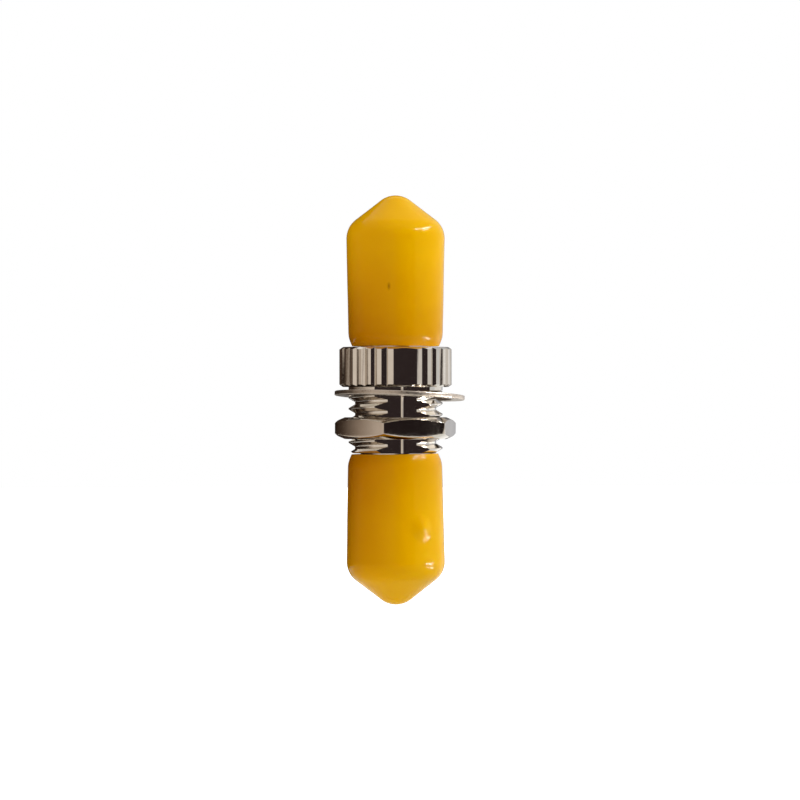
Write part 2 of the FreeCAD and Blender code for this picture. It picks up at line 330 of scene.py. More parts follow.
def prism(outline: Sequence[Vector], low: float, high: float) -> Object:
    """Raise a solid of one outline between two heights.

    Args:
        outline: The points of the outline, without repeating the first.
        low: The height of the bottom face.
        high: The height of the top face.

    Returns:
        The closed solid.
    """
    solid = draw_chain([Vector((p.x, p.y, low)) for p in (*outline, outline[0])])
    with editing(solid):
        bpy.ops.mesh.remove_doubles(threshold=MERGE)
        bpy.ops.mesh.edge_face_add()
        bpy.ops.mesh.extrude_region_move(TRANSFORM_OT_translate={"value": (0, 0, high - low)})
        close_up()
    return solid


def apply_modifier(obj: Object, kind: str, settings: Mapping[str, Any]) -> None:
    """Give a mesh a modifier and apply it at once.

    Args:
        obj: The mesh object.
        kind: The modifier's Blender type.
        settings: The modifier's properties.
    """
    modifier = obj.modifiers.new(kind.title(), kind)
    for name, value in settings.items():
        setattr(modifier, name, value)
    select_only(obj)
    bpy.ops.object.modifier_apply(modifier=modifier.name)


def combine(base: Object, tool: Object, how: Joining) -> None:
    """Work one solid with another, which is used up.

    Args:
        base: The solid that stays.
        tool: The solid that is added, cut away or used as the limit.
        how: Which of these it is.
    """
    apply_modifier(base, "BOOLEAN", {"operation": how.value, "solver": "EXACT", "object": tool})
    bpy.data.objects.remove(tool)


def slice_off(obj: Object, point: Point, normal: Point) -> None:
    """Cut away what lies beyond a plane and close the cut.

    Args:
        obj: The solid to cut.
        point: A point of the plane.
        normal: The direction of the side that goes.
    """
    with editing(obj):
        bpy.ops.mesh.bisect(
            plane_co=point, plane_no=normal, use_fill=True, clear_outer=True, threshold=MERGE
        )
        close_up()


@dataclass(frozen=True)
class Seat:
    """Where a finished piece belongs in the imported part."""

    body: str
    node: str
    slot: str


def settle(obj: Object, seat: Seat, finish: Material, crease: float) -> None:
    """Name a finished piece, bring it to metres, smooth and dress it and hand it to its body.

    Args:
        obj: The piece, drawn in millimetres.
        seat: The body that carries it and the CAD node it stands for.
        finish: Its material.
        crease: The angle in degrees from which an edge stays sharp.
    """
    obj.name = obj.data.name = f"{seat.node}_finish"
    obj.scale = (MM, MM, MM)
    select_only(obj)
    bpy.ops.object.transform_apply(location=False, rotation=False, scale=True)
    bpy.ops.object.shade_smooth_by_angle(angle=math.radians(crease))
    obj.data.materials.clear()
    obj.data.materials.append(finish)
    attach(obj, seat.body)
    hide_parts(seat.node)
    LOG.info("%s: %d faces on body %s", obj.name, len(obj.data.polygons), seat.body)


@dataclass(frozen=True)
class Thread:
    """The coupler's right-hand panel thread, drawn once for the body and once, wider, for the nut."""

    radius: float = 4.7625
    pitch: float = 1.13
    depth: float = 0.65
    crest: float = 0.13
    flank: float = 30.0
    # Where a groove's middle crosses the +X side
    phase: float = -7.83
    crest_round: float = 0.05
    root_round: float = 0.07
    steps: int = 96

    def rod(self, low: float, high: float, wider: float = 0.0) -> Object:
        """Cut a threaded rod to length.

        Args:
            low: The height of its lower end.
            high: The height of its upper end.
            wider: How much its radius is increased, as a tap's is.

        Returns:
            The closed rod.
        """
        crest = self.radius + wider
        root = crest - self.depth
        rise = self.depth * math.tan(math.radians(self.flank))
        half_root = (self.pitch - self.crest) / 2 - rise
        below = math.ceil((self.phase - low) / self.pitch) + 2
        start = self.phase - below * self.pitch
        tooth = [
            Corner(root, start),
            Corner(root, start + half_root, self.root_round),
            Corner(crest, start + half_root + rise, self.crest_round),
            Corner(crest, start + half_root + rise + self.crest, self.crest_round),
            Corner(root, start + self.pitch - half_root, self.root_round),
            Corner(root, start + self.pitch),
        ]
        rod = draw_chain([Vector((p.x, 0, p.y)) for p in rounded(tooth)])
        apply_modifier(
            rod,
            "SCREW",
            {
                "angle": FULL_TURN,
                "screw_offset": self.pitch,
                "iterations": math.ceil((high - start) / self.pitch) + 1,
                "steps": self.steps,
            },
        )
        with editing(rod):
            close_up()
        slice_off(rod, (0, 0, low), (0, 0, -1))
        slice_off(rod, (0, 0, high), (0, 0, 1))
        return rod


@dataclass(frozen=True)
class NickelPlate:
    """Bright nickel over metal: a warm mirror, with the waviness and marks of what lies under it."""

    name: str
    bright: str
    dull: str
    roughness: Pair
    # Width of the soft waves in the plated face, and how deep they are
    wave_mm: float
    wave_depth_mm: float
    # Size of the working marks along each axis, and how deep they are
    mark_mm: Point
    mark_depth_mm: float
    # Width of the patches that handling has dulled
    haze_mm: float = 1.6
    # Width of the specks in the gloss, and the noise levels over which they go from bright to dull
    speck_mm: float = 0.22
    speck_levels: Pair = (0.3, 0.7)

    def material(self) -> Material:
        """Make the plate's material.

        Returns:
            The node material.
        """
        material, shader, place = start_material(self.name)
        tree = material.node_tree
        add = partial(add_node, tree)
        haze = add("ShaderNodeTexNoise", {"Vector": place, "Scale": per_mm(self.haze_mm), "Detail": 4.0})
        tint = add(
            "ShaderNodeMix",
            {0: haze.outputs["Fac"], 6: linear(self.bright), 7: linear(self.dull)},
            {"data_type": "RGBA"},
        )
        specks = add("ShaderNodeTexNoise", {"Vector": place, "Scale": per_mm(self.speck_mm), "Detail": 6.0})
        gloss = add(
            "ShaderNodeMapRange",
            {
                "Value": specks.outputs["Fac"],
                "From Min": self.speck_levels[0],
                "From Max": self.speck_levels[1],
                "To Min": self.roughness[0],
                "To Max": self.roughness[1],
            },
        )
        waves = add("ShaderNodeTexNoise", {"Vector": place, "Scale": per_mm(self.wave_mm), "Detail": 2.0})
        bump = add("ShaderNodeBump", {"Height": waves.outputs["Fac"], "Distance": self.wave_depth_mm * MM})
        # Drawing, turning, casting or tumbling left fine marks, each stretched its own way
        scale = tuple(per_mm(size) for size in self.mark_mm)
        stretch = add("ShaderNodeMapping", {"Vector": place, "Scale": scale})
        grain = add(
            "ShaderNodeTexNoise", {"Vector": stretch.outputs["Vector"], "Scale": 1.0, "Detail": 3.0}
        )
        marks = add(
            "ShaderNodeBump",
            {
                "Height": grain.outputs["Fac"],
                "Distance": self.mark_depth_mm * MM,
                "Normal": bump.outputs["Normal"],
            },
        )
        tree.links.new(tint.outputs[2], shader.inputs["Base Color"])
        tree.links.new(gloss.outputs["Result"], shader.inputs["Roughness"])
        tree.links.new(marks.outputs["Normal"], shader.inputs["Normal"])
        shader.inputs["Metallic"].default_value = 1.0
        return material


# Clear reflections in a skin that is smooth but for the die's faint grain
CAST_PLATE = NickelPlate(
    "nickel_plate_on_zinc_casting", bright="#DDD6CC", dull="#CBC3B8", roughness=(0.05, 0.13),
    wave_mm=0.7, wave_depth_mm=0.0025, mark_mm=(0.2, 0.2, 0.2), mark_depth_mm=0.0005,
)
# Flat mirrors with long faint marks up the flats, along which the bar was drawn
DRAWN_PLATE = NickelPlate(
    "nickel_plate_on_drawn_brass", bright="#CFC6BA", dull="#B9AEA1", roughness=(0.05, 0.11),
    wave_mm=1.6, wave_depth_mm=0.002, mark_mm=(0.3, 0.3, 5.0), mark_depth_mm=0.0008,
)
# A softer gloss with fine rings from the lathe
TURNED_PLATE = NickelPlate(
    "nickel_plate_on_turned_brass", bright="#DBD3C7", dull="#C6BCAF", roughness=(0.08, 0.2),
    wave_mm=0.9, wave_depth_mm=0.004, mark_mm=(3.0, 3.0, 0.06), mark_depth_mm=0.002,
)
# Grey satin, pitted by tumbling
PRESSED_PLATE = NickelPlate(
    "nickel_plate_on_pressed_steel", bright="#BBAFA2", dull="#A09386", roughness=(0.24, 0.4),
    wave_mm=0.5, wave_depth_mm=0.01, mark_mm=(0.12, 0.12, 0.12), mark_depth_mm=0.004,
)


@dataclass(frozen=True)
class SinteredZirconia:
    """Ground white ceramic: dense, faintly cream, with a fine satin gloss."""

    name: str = "sintered_zirconia"
    white: str = "#F1EEE6"
    cream: str = "#E6E0D2"
    roughness: Pair = (0.18, 0.34)
    ior: float = 2.1
    cloud_mm: float = 1.2
    # Grinding marks run round the bore, drawn at 0.05 mm so that they show at all
    mark_mm: Point = (1.0, 1.0, 0.05)
    mark_depth_mm: float = 0.004

    def material(self) -> Material:
        """Make the ceramic's material.

        Returns:
            The node material.
        """
        material, shader, place = start_material(self.name)
        tree = material.node_tree
        add = partial(add_node, tree)
        cloud = add("ShaderNodeTexNoise", {"Vector": place, "Scale": per_mm(self.cloud_mm)})
        tint = add(
            "ShaderNodeMix",
            {0: cloud.outputs["Fac"], 6: linear(self.white), 7: linear(self.cream)},
            {"data_type": "RGBA"},
        )
        scale = tuple(per_mm(size) for size in self.mark_mm)
        marks = add("ShaderNodeMapping", {"Vector": place, "Scale": scale})
        grain = add("ShaderNodeTexNoise", {"Vector": marks.outputs["Vector"], "Scale": 1.0})
        bump = add("ShaderNodeBump", {"Height": grain.outputs["Fac"], "Distance": self.mark_depth_mm * MM})
        gloss = add(
            "ShaderNodeMapRange",
            {"Value": grain.outputs["Fac"], "To Min": self.roughness[0], "To Max": self.roughness[1]},
        )
        tree.links.new(tint.outputs[2], shader.inputs["Base Color"])
        tree.links.new(gloss.outputs["Result"], shader.inputs["Roughness"])
        tree.links.new(bump.outputs["Normal"], shader.inputs["Normal"])
        shader.inputs["IOR"].default_value = self.ior
        return material


@dataclass(frozen=True)
class DippedVinyl:
    """Soft PVC dipped over a hot former: glossy, deep yellow, with slow waves and a little glow inside."""

    name: str = "dipped_vinyl"
    deep: str = "#DC9600"
    light: str = "#FCBA00"
    nick_dark: str = "#B87A00"
    roughness: Pair = (0.06, 0.16)
    ior: float = 1.45
    specular: float = 0.07
    # How much light goes through the skin, how far, and how far each colour of it
    glow: float = 0.2
    glow_mm: float = 0.5
    glow_reach: Point = (1.0, 0.55, 0.1)
    # Width of the patches of uneven thickness, and how much they count beside the painted shade that runs
    # from rim to tip
    patch_mm: float = 4.0
    patch_share: float = 0.3
    # Distance along the axis at the rims, where the painted shade is deepest, and where it has faded to the
    # light yellow
    rim_mm: float = 4.5
    tip_mm: float = 15.5
    # Width and depth of the skin's fine grain and of its slow waves
    skin_mm: float = 0.18
    skin_depth_mm: float = 0.002
    wave_mm: float = 2.4
    wave_depth_mm: float = 0.03
    # The small nick in the upper cap's front, how far it spreads and how deep it is
    nick_mm: Point = (-1.5, -4.66, 10.1)
    nick_spread_mm: Point = (0.2, 0.5, 0.5)
    nick_depth_mm: float = 0.05

    def material(self) -> Material:
        """Make the vinyl's material.

        Returns:
            The node material.
        """
        material, shader, place = start_material(self.name)
        tree = material.node_tree
        add = partial(add_node, tree)
        # The dip ran to uneven thickness, which deepens the yellow in patches; towards either rim, next to
        # the collar, the yellow is deepened as painted shade
        depth = add("ShaderNodeTexNoise", {"Vector": place, "Scale": per_mm(self.patch_mm), "Detail": 2.0})
        split = add("ShaderNodeSeparateXYZ", {0: place})
        along = add("ShaderNodeMath", {0: split.outputs["Z"]}, {"operation": "ABSOLUTE"})
        # Painted shade: darker at the rims, beside the collar, and lighter towards the tips
        run = add(
            "ShaderNodeMapRange",
            {"Value": along.outputs[0], "From Min": self.rim_mm * MM, "From Max": self.tip_mm * MM},
        )
        share = add(
            "ShaderNodeMath",
            {0: depth.outputs["Fac"], 1: self.patch_share, 2: run.outputs["Result"]},
            {"operation": "MULTIPLY_ADD"},
        )
        tint = add(
            "ShaderNodeMix",
            {0: share.outputs[0], 6: linear(self.deep), 7: linear(self.light)},
            {"data_type": "RGBA"},
        )
        skin = add("ShaderNodeTexNoise", {"Vector": place, "Scale": per_mm(self.skin_mm), "Detail": 3.0})
        gloss = add(
            "ShaderNodeMapRange",
            {"Value": skin.outputs["Fac"], "To Min": self.roughness[0], "To Max": self.roughness[1]},
        )
        waves = add("ShaderNodeTexNoise", {"Vector": place, "Scale": per_mm(self.wave_mm), "Detail": 1.0})
        slow = add("ShaderNodeBump", {"Height": waves.outputs["Fac"], "Distance": self.wave_depth_mm * MM})
        fine = add(
            "ShaderNodeBump",
            {
                "Height": skin.outputs["Fac"],
                "Distance": self.skin_depth_mm * MM,
                "Normal": slow.outputs["Normal"],
            },
        )
        # A nail or a tool has nicked the upper cap, and its colour is darker in the nick
        nick_place = add(
            "ShaderNodeMapping",
            {
                "Vector": place,
                "Location": tuple(at * MM for at in self.nick_mm),
                "Scale": tuple(size * MM for size in self.nick_spread_mm),
            },
            {"vector_type": "TEXTURE"},
        )
        nick = add(
            "ShaderNodeTexGradient",
            {"Vector": nick_place.outputs["Vector"]},
            {"gradient_type": "SPHERICAL"},
        )
        nick_darkened = add(
            "ShaderNodeMix",
            {0: nick.outputs["Fac"], 6: tint.outputs[2], 7: linear(self.nick_dark)},
            {"data_type": "RGBA"},
        )
        dent = add(
            "ShaderNodeBump",
            {
                "Height": nick.outputs["Fac"],
                "Distance": self.nick_depth_mm * MM,
                "Normal": fine.outputs["Normal"],
            },
            {"invert": True},
        )
        tree.links.new(nick_darkened.outputs[2], shader.inputs["Base Color"])
        tree.links.new(gloss.outputs["Result"], shader.inputs["Roughness"])
        tree.links.new(dent.outputs["Normal"], shader.inputs["Normal"])
        shader.inputs["IOR"].default_value = self.ior
        shader.inputs["Specular IOR Level"].default_value = self.specular
        shader.inputs["Subsurface Weight"].default_value = self.glow
        shader.inputs["Subsurface Radius"].default_value = self.glow_reach
        shader.inputs["Subsurface Scale"].default_value = self.glow_mm * MM
        return material


@dataclass
class Casting:
    """The die-cast body: a knurled collar, a flatted thread and a bayonet barrel at either end."""

    thread: Thread
    finish: NickelPlate
    seat: Seat = Seat("adapter", "threaded_body", "nickel_plated_zinc")
    # The flats meet the thread's roots at 21 degrees, which has to stay an edge
    crease: float = 18.0
    steps: int = 128
    # Collar, with its chamfers and the two runs of grooves
    collar_radius: float = 5.7
    collar_top: float = 4.05
    collar_edge: float = 0.36
    collar_slope: float = 35.0
    collar_round: float = 0.08
    groove_half: float = 0.34
    groove_depth: float = 0.233
    end_groove_shift: float = 2.0
    groove_angle: float = 11.5
    grooves: int = 13
    groove_round: float = 0.03
    ridge_round: float = 0.05
    strip_half_angle: float = 12.0
    # Threaded stem, its flats, and the ridge where the mould parted, a corner of a square bar in each flat
    thread_end: float = -6.7
    thread_lead: float = 0.4
    thread_lead_round: float = 0.05
    thread_runout: float = 0.35
    stem_overlap: float = 0.5
    flat_half: float = 3.835
    parting_radius: float = 0.24
    # The hole that stem and collar get for the tube, small enough for all three to grow together
    core_radius: float = 3.0
    # Barrels, with their lugs and key notches
    barrel_radius: float = 3.55
    barrel_edge: float = 0.3
    upper_end: float = 13.65
    lower_end: float = -16.3
    lug_radius: float = 0.95
    lug_reach: float = 4.15
    lug_round: float = 0.15
    lug_setback: float = 2.0
    lug_heading: float = -55.0
    lug_steps: int = 48
    notch_heading: float = -145.0
    notch_half: float = 0.75
    notch_depth: float = 2.5
    # Sockets, the sleeve's pocket and the retainer's seat
    socket_radius: float = 2.5
    socket_edge: float = 0.2
    socket_round: float = 0.1
    upper_floor: float = 5.175
    lower_floor: float = -7.825
    sleeve_foot: float = -7.125
    retainer_foot: float = 4.475
    lip_radius: float = 1.45
    lead_in: float = 0.3
    pocket_radius: float = 1.7
    retainer_radius: float = 2.2

    def threaded_stem(self) -> Object:
        """Make the threaded stem with its lead-in, its two flats and the mould's parting line.

        Returns:
            The stem, running up into the collar.
        """
        radius, inside = self.thread.radius, self.stem_overlap
        stem = self.thread.rod(self.thread_end, -self.thread_runout / 2)
        combine(stem, bar(radius, -self.thread_runout, inside, 0, self.steps), Joining.ADD)
        limit = [
            Corner(0, self.thread_end),
            Corner(radius - self.thread_lead, self.thread_end, self.thread_lead_round),
            Corner(radius + SPARE, self.thread_end + self.thread_lead + SPARE),
            Corner(radius + SPARE, inside),
            Corner(0, inside),
        ]
        combine(stem, lathe(rounded(limit), self.steps), Joining.KEEP_COMMON)
        for side in (1, -1):
            slice_off(stem, (0, side * self.flat_half, 0), (0, side, 0))
        for side in (1, -1):
            middle = (0, side * (self.flat_half - self.parting_radius / 2))
            square = arc(middle, self.parting_radius, 0, 270, 3)
            combine(stem, prism(square, self.thread_end, inside / 2), Joining.ADD)
        return stem

    def on_collar(self, heading: float, edge: float = 0.0, depth: float = 0.0) -> Corner:
        """Give the corner of the collar's outline at a heading, so deep under its rim."""
        return Corner(*arc((0, 0), self.collar_radius - depth, heading, heading, 1)[0], edge)

    def collar_outline(self) -> list[Vector]:
        """Draw the collar's outline, a run of V grooves on each side of the two plain strips.

        Returns:
            The outline's points, once round.
        """
        half_mouth = math.degrees(math.asin(self.groove_half / self.collar_radius))
        last = (self.grooves - 1) / 2 * self.groove_angle
        strip = 90 - self.strip_half_angle
        border = (last + half_mouth + strip) / 2
        # The mould draws off along X, so the grooves next to a strip are laid back on their far side
        shifts = {0: -self.end_groove_shift, self.grooves - 1: self.end_groove_shift}
        side: list[Corner] = []
        for index in range(self.grooves):
            heading = index * self.groove_angle - last
            side += [
                self.on_collar(heading - half_mouth, self.ridge_round),
                self.on_collar(heading + shifts.get(index, 0.0), self.groove_round, self.groove_depth),
                self.on_collar(heading + half_mouth, self.ridge_round),
            ]
            if index < self.grooves - 1:
                side.append(self.on_collar(heading + self.groove_angle / 2))
        side += [
            self.on_collar(border),
            self.on_collar(strip, self.ridge_round),
            self.on_collar(180 - strip, self.ridge_round),
            self.on_collar(180 - border),
        ]
        other = [Corner(-corner.x, -corner.y, corner.radius) for corner in side]
        return rounded(side + other, closed=True)

    def collar(self) -> Object:
        """Make the knurled collar with its chamfered edges.

        Returns:
            The collar.
        """
        top = self.collar_top
        collar = prism(self.collar_outline(), -SPARE, top + SPARE)
        rim = self.collar_radius - self.collar_edge
        wide = self.collar_radius + SPARE
        edge = (wide - rim) * math.tan(math.radians(self.collar_slope))
        disc = [
            Corner(0, 0),
            Corner(rim, 0, self.collar_round),
            Corner(wide, edge),
            Corner(wide, top - edge),
            Corner(rim, top, self.collar_round),
            Corner(0, top),
        ]
        combine(collar, lathe(rounded(disc), self.steps * 2), Joining.KEEP_COMMON)
        return collar

    def lugs(self, height: float) -> Object:
        """Make one pair of bayonet lugs as a pin through the barrel.

        Args:
            height: The pin's height.

        Returns:
            The pin, lying across the barrel.
        """
        pin = bar(self.lug_radius, -self.lug_reach, self.lug_reach, self.lug_round, self.lug_steps)
        lying = Matrix.Rotation(math.radians(90), 4, "Y")
        turned = Matrix.Rotation(math.radians(self.lug_heading), 4, "Z")
        pin.data.transform(Matrix.Translation((0, 0, height)) @ turned @ lying)
        return pin

    def bores(self) -> Object:
        """Make the solid that is bored out: two sockets, the sleeve's pocket and the retainer's seat.

        Returns:
            The cutter.
        """
        foot, top = self.lower_end, self.upper_end
        socket, lip = self.socket_radius, self.lip_radius
        mouth = socket + self.socket_edge
        outline = [
            Corner(0, foot - SPARE),
            Corner(mouth + SPARE, foot - SPARE),
            Corner(socket, foot + self.socket_edge, self.socket_round),
            Corner(socket, self.lower_floor),
            Corner(lip + self.lead_in, self.lower_floor),
            Corner(lip, self.lower_floor + self.lead_in),
            Corner(lip, self.sleeve_foot),
            Corner(self.pocket_radius, self.sleeve_foot),
            Corner(self.pocket_radius, self.retainer_foot),
            Corner(self.retainer_radius, self.retainer_foot),
            Corner(self.retainer_radius, self.upper_floor),
            Corner(socket, self.upper_floor),
            Corner(socket, top - self.socket_edge, self.socket_round),
            Corner(mouth + SPARE, top + SPARE),
            Corner(0, top + SPARE),
        ]
        return lathe(rounded(outline), self.steps)

    def notch(self, low: float, high: float) -> Object:
        """Make the solid that cuts one barrel's key notch.

        Args:
            low: The height of its lower end.
            high: The height of its upper end.

        Returns:
            The cutter, reaching out from the axis.
        """
        reach, half = self.barrel_radius + SPARE, self.notch_half
        outline = [Vector(place) for place in ((0, -half), (reach, -half), (reach, half), (0, half))]
        block = prism(outline, low, high)
        block.data.transform(Matrix.Rotation(math.radians(self.notch_heading), 4, "Z"))
        return block

    def tube(self) -> Object:
        """Make the tube that runs through the whole body, with its lugs, bores and key notches.

        Returns:
            The finished tube.
        """
        foot, top = self.lower_end, self.upper_end
        tube = bar(self.barrel_radius, foot, top, self.barrel_edge, self.steps)
        for height in (top - self.lug_setback, foot + self.lug_setback):
            combine(tube, self.lugs(height), Joining.ADD)
        combine(tube, self.bores(), Joining.CUT)
        combine(tube, self.notch(top - self.notch_depth, top + SPARE), Joining.CUT)
        combine(tube, self.notch(foot - SPARE, foot + self.notch_depth), Joining.CUT)
        return tube

    def build(self) -> Object:
        """Build and dress the body, with the stem and the collar as a ring round the tube.

        Returns:
            The finished piece.
        """
        body = self.threaded_stem()
        combine(body, self.collar(), Joining.ADD)
        core = bar(self.core_radius, self.thread_end - SPARE, self.collar_top + SPARE, 0, self.steps)
        combine(body, core, Joining.CUT)
        combine(body, self.tube(), Joining.ADD)
        with editing(body):
            close_up()
        settle(body, self.seat, self.finish.material(), self.crease)
        return body


@dataclass
class JamNut:
    """The thin hexagon nut, bevelled on both faces and tapped to run on the body's thread."""

    thread: Thread
    finish: NickelPlate
    seat: Seat = Seat("jam_nut", "hex_nut", "nickel_plated_brass")
    crease: float = 30.0
    steps: int = 128
    sides: int = 6
    half_flats: float = 5.65
    half_height: float = 1.1
    middle: float = -4.17
    heading: float = 9.7
    face_radius: float = 5.15
    bevel: float = 23.0
    # How far each side bulges, and the runs it is drawn in
    crown: float = 0.03
    side_steps: int = 12
    # Edges sharper than this many degrees are rounded
    edge_angle: float = 15.0
    edge_round: float = 0.08
    edge_segments: int = 3
    clearance: float = 0.08
    mouth: float = 0.25
    # How far the raw bar, the form that bevels it and the tap reach past the nut
    bar_spare: float = 0.4
    form_spare: float = 0.5
    tap_spare: float = 0.6

    def faces(self) -> Pair:
        """Give the heights of the nut's lower and upper face."""
        return self.middle - self.half_height, self.middle + self.half_height

    def side(self, start: Vector, stop: Vector) -> list[Vector]:
        """Draw one side of the hexagon, barely convex.

        Args:
            start: The corner it starts from.
            stop: The corner it runs to.

        Returns:
            The side's points, without the last corner.
        """
        outward = (start + stop).normalized()
        shares = [n / self.side_steps for n in range(self.side_steps)]
        return [start.lerp(stop, s) - outward * self.crown * (1 - 2 * s) ** 2 for s in shares]

    def blank(self) -> Object:
        """Make the bevelled hexagon before it is tapped.

        Returns:
            The blank, at its height on the thread.
        """
        foot, top = self.faces()
        corner_radius = self.half_flats / math.cos(HALF_TURN / self.sides)
        points = arc((0, 0), corner_radius, self.heading, self.heading + 360, self.sides)
        outline: list[Vector] = []
        for start, stop in zip(points, points[1:]):
            outline += self.side(start, stop)
        nut = prism(outline, foot - self.bar_spare, top + self.bar_spare)
        reach = corner_radius + self.form_spare
        drop = (reach - self.face_radius) * math.tan(math.radians(self.bevel))
        limit = [
            Corner(0, foot),
            Corner(self.face_radius, foot),
            Corner(reach, foot + drop),
            Corner(reach, top - drop),
            Corner(self.face_radius, top),
            Corner(0, top),
        ]
        combine(nut, lathe(rounded(limit), self.steps), Joining.KEEP_COMMON)
        apply_modifier(
            nut,
            "BEVEL",
            {
                "width": self.edge_round,
                "segments": self.edge_segments,
                "limit_method": "ANGLE",
                "angle_limit": math.radians(self.edge_angle),
            },
        )
        return nut

    def mouths(self) -> Object:
        """Make the solid that countersinks the thread at both faces.

        Returns:
            The cutter.
        """
        foot, top = self.faces()
        root = self.thread.radius - self.thread.depth + self.clearance
        wide = self.thread.radius + self.clearance + self.mouth
        fall = wide - root
        outline = [
            Corner(0, foot - SPARE),
            Corner(wide + SPARE, foot - SPARE),
            Corner(root, foot + fall),
            Corner(root, top - fall),
            Corner(wide + SPARE, top + SPARE),
            Corner(0, top + SPARE),
        ]
        return lathe(rounded(outline), self.steps)

    def build(self) -> Object:
        """Build and dress the nut.

        Returns:
            The finished piece.
        """
        foot, top = self.faces()
        nut = self.blank()
        combine(nut, self.mouths(), Joining.CUT)
        tap = self.thread.rod(foot - self.tap_spare, top + self.tap_spare, self.clearance)
        combine(nut, tap, Joining.CUT)
        with editing(nut):
            close_up()
        settle(nut, self.seat, self.finish.material(), self.crease)
        return nut


@dataclass
class PanelWasher:
    """The loose plain washer, hanging askew on the thread."""

    finish: NickelPlate
    seat: Seat = Seat("loose_washer", "washer", "nickel_plated_steel")
    crease: float = 40.0
    steps: int = 160
    bore_radius: float = 5.2825
    rim_radius: float = 6.6025
    half_thickness: float = 0.225
    edge_round: float = 0.1
    offset: float = 0.42
    middle: float = -0.87
    lean: float = 3.4
    lean_heading: float = 130.0

    def build(self) -> Object:
        """Build and dress the washer.

        Returns:
            The finished piece.
        """
        bore, rim, half = self.bore_radius, self.rim_radius, self.half_thickness
        places = ((bore, -half), (rim, -half), (rim, half), (bore, half))
        outline = rounded([Corner(*place, self.edge_round) for place in places], closed=True)
        washer = lathe([*outline, outline[0]], self.steps)
        heading = math.radians(self.lean_heading)
        leant = Matrix.Rotation(math.radians(self.lean), 4, (math.cos(heading), math.sin(heading), 0))
        washer.data.transform(Matrix.Translation((self.offset, 0, self.middle)) @ leant)
        settle(washer, self.seat, self.finish.material(), self.crease)
        return washer


@dataclass
class DustCap:
    """A dip-moulded vinyl cap, stretched over the bayonet lugs of one barrel."""

    seat: Seat
    material: Material
    # The height of its rim, and which way it points from there
    rim: float
    points_down: bool
    # Where a lug stands behind the skin, how far it pushes, and how far the cap leans, in degrees
    lug_heading: float
    lug_push: float
    lean: float
    crease: float = 60.0
    steps: int = 128
    arc_steps: int = 8
    # Outside, from the rim up to the tip
    length: float = 15.35
    lip_radius: float = 4.42
    lip_round: float = 0.15
    mouth_radius: float = 4.8
    draw_in: float = 0.9
    draw_round: float = 2.2
    shoulder_centre: Pair = (2.6, 10.946)
    shoulder_radius: float = 2.4
    tip_radius: float = 2.5
    cone: float = 52.0
    # Inside, where the outline starts and ends a little above the rim
    bore_radius: float = 4.307
    bore_edge: float = 0.05
    bore_start: float = 1.0
    inner_tip: float = 14.35
    inner_round: float = 1.2
    # The longest run along the skin, short enough for the bulge and the waves
    ring_gap: float = 0.22
    lug_height: float = 7.54
    lug_spread: float = 1.5
    wave_depth: float = 0.05
    wave_mm: float = 5.0
    wave_octaves: int = 1
    # The camera's line of sight
    lean_axis: Point = (-0.1736, 0.9848, 0)

    def shell(self) -> Object:
        """Turn the cap's shell, standing on its rim.

        Returns:
            The closed shell.
        """
        side = [
            Corner(self.bore_radius, self.bore_start),
            Corner(self.bore_radius, 0, self.bore_edge),
            Corner(self.lip_radius, 0, self.lip_round),
            Corner(self.mouth_radius, self.draw_in, self.draw_round),
            Corner(self.shoulder_centre[0] + self.shoulder_radius, self.shoulder_centre[1]),
        ]
        shoulder = arc(self.shoulder_centre, self.shoulder_radius, 0, self.cone, self.arc_steps)
        tip = arc((0, self.length - self.tip_radius), self.tip_radius, self.cone, 90, self.arc_steps)
        inner_shoulder = self.inner_tip - self.bore_radius / math.tan(math.radians(self.cone))
        hollow = [
            Corner(0, self.inner_tip),
            Corner(self.bore_radius, inner_shoulder, self.inner_round),
            Corner(self.bore_radius, self.bore_start),
        ]
        outline = rounded(side) + shoulder[1:] + tip + rounded(hollow)
        return lathe(divided(outline, self.ring_gap), self.steps)

    def stretch(self, cap: Object) -> None:
        """Push the skin out a little where the lugs stand behind it.

        Args:
            cap: The shell, standing on its rim.
        """
        for turn in (0, 180):
            heading = math.radians(self.lug_heading + turn)
            outward = Vector((math.cos(heading), math.sin(heading), 0))
            spot = outward * self.mouth_radius + Vector((0, 0, self.lug_height))
            nearest = min(cap.data.vertices, key=lambda vertex: (vertex.co - spot).length).index
            with editing(cap):
                bpy.ops.mesh.select_all(action="DESELECT")
                bpy.ops.object.mode_set(mode="OBJECT")
                cap.data.vertices[nearest].select = True
                bpy.ops.object.mode_set(mode="EDIT")
                bpy.ops.transform.translate(
                    value=outward * self.lug_push,
                    use_proportional_edit=True,
                    proportional_edit_falloff="SMOOTH",
                    proportional_size=self.lug_spread,
                )

    def build(self) -> Object:
        """Build and dress the cap.

        Returns:
            The finished piece.
        """
        cap = self.shell()
        self.stretch(cap)
        waves = bpy.data.textures.new(f"{self.seat.node}_waves", "CLOUDS")
        waves.noise_scale = self.wave_mm
        waves.noise_depth = self.wave_octaves
        # A mid level of 1 only ever takes from the wall, so the cap keeps its size and its room inside
        apply_modifier(
            cap,
            "DISPLACE",
            {"texture": waves, "texture_coords": "LOCAL", "strength": self.wave_depth, "mid_level": 1.0},
        )
        place = Matrix.Translation((0, 0, self.rim))
        if self.points_down:
            place @= Matrix.Rotation(HALF_TURN, 4, "X")
        # The cap rocks on the lugs, sideways in the camera's view
        pivot = Matrix.Translation((0, 0, self.lug_height))
        rock = Matrix.Rotation(math.radians(self.lean), 4, self.lean_axis)
        cap.data.transform(place @ pivot @ rock @ pivot.inverted())
        settle(cap, self.seat, self.material, self.crease)
        return cap


@dataclass(frozen=True)
class Card:
    """A curved cloth that stands round the object, out of the eye's sight."""

    name: str
    beam: Beam
    radius: float
    low: float
    high: float
    # Its colours, each at its degrees to the right of the camera
    grading: tuple[tuple[float, str], ...]


